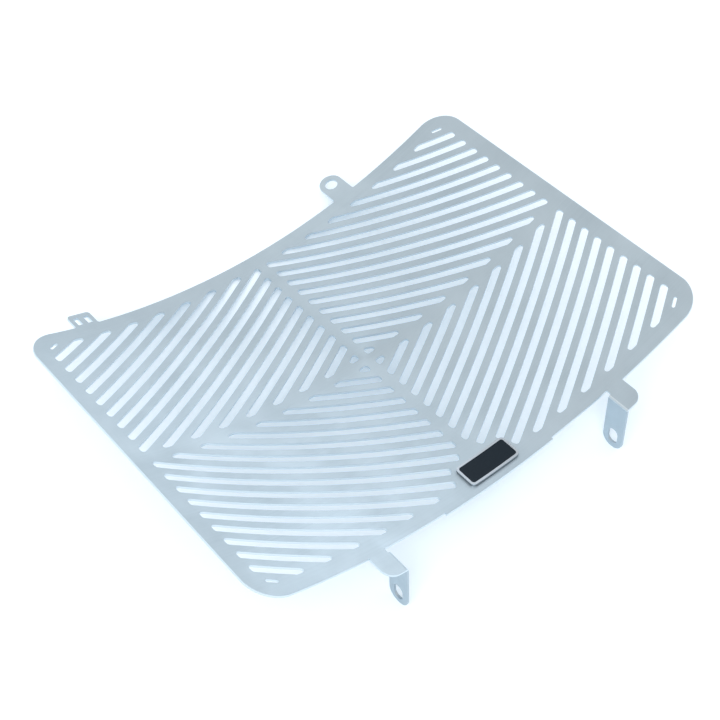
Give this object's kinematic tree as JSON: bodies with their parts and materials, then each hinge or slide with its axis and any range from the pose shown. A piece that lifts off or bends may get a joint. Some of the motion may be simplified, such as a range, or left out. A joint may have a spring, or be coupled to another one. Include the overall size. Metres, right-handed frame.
{
  "type": "motorcycle radiator guard",
  "caption": "Curved stainless radiator guard with slanted slots, a round bolt tab, a strap tab, two folded bolt brackets and a small badge.",
  "frame": {"origin": "the middle of the panel on its hollow front face", "axes": "+X along the curved width towards the round tab, +Y up the height of the panel from the badge's edge to the tabs' edge, +Z out of the hollow front face, away from the radiator"},
  "size_m": [0.3424, 0.2872, 0.0705],
  "materials": {
    "satin_stainless": "satin, fine brushed",
    "adhesive": "dull foam adhesive",
    "badge_metal": "bright, lightly brushed",
    "badge_dark": "smooth dark slate"
  },
  "bodies": {
    "root": {"guard_sheet": "satin_stainless", "badge_pad": "adhesive", "badge_plate": "badge_metal", "badge_field": "badge_dark"}
  },
  "joints": []
}
